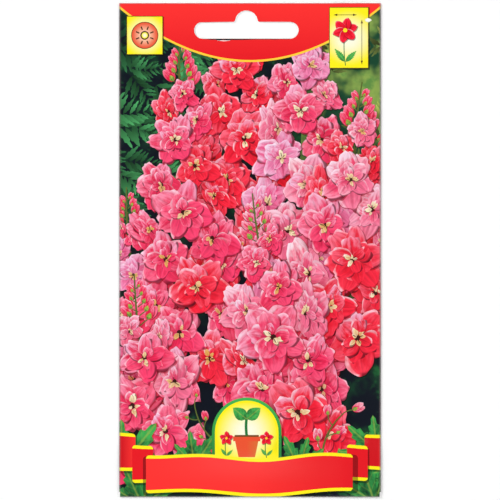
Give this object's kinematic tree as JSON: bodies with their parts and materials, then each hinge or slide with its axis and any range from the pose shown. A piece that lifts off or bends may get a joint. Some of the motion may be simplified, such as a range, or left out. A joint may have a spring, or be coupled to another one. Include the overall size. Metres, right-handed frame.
{
  "type": "flower seed packet",
  "caption": "Flat paper seed packet with a hang slot in its glued header, a printed flower front, glued back flaps and loose delphinium seeds in its pocket.",
  "frame": {"origin": "centre of the packet's outline, on the surface that its back lies on", "axes": "+Z out of the printed front, +Y towards the header with the hang slot, +X to the right as the front is looked at"},
  "size_m": [0.08, 0.151, 0.0033],
  "materials": {
    "printed_paper": "coated paper printed in full colour, satin gloss outside, plain white inside and on the cut edges",
    "seed_coat": "dry, dull and finely wrinkled dark brown seed coat"
  },
  "bodies": {
    "root": {"packet_sheet": "printed_paper", "seed_01": "seed_coat", "seed_02": "seed_coat", "seed_03": "seed_coat", "seed_04": "seed_coat", "seed_05": "seed_coat", "seed_06": "seed_coat", "seed_07": "seed_coat", "seed_08": "seed_coat", "seed_09": "seed_coat", "seed_10": "seed_coat", "seed_11": "seed_coat", "seed_12": "seed_coat", "seed_13": "seed_coat", "seed_14": "seed_coat", "seed_15": "seed_coat", "seed_16": "seed_coat", "seed_17": "seed_coat", "seed_18": "seed_coat", "seed_19": "seed_coat", "seed_20": "seed_coat", "seed_21": "seed_coat", "seed_22": "seed_coat", "seed_23": "seed_coat", "seed_24": "seed_coat", "seed_25": "seed_coat", "seed_26": "seed_coat", "seed_27": "seed_coat", "seed_28": "seed_coat", "seed_29": "seed_coat", "seed_30": "seed_coat", "seed_31": "seed_coat", "seed_32": "seed_coat"}
  },
  "joints": []
}
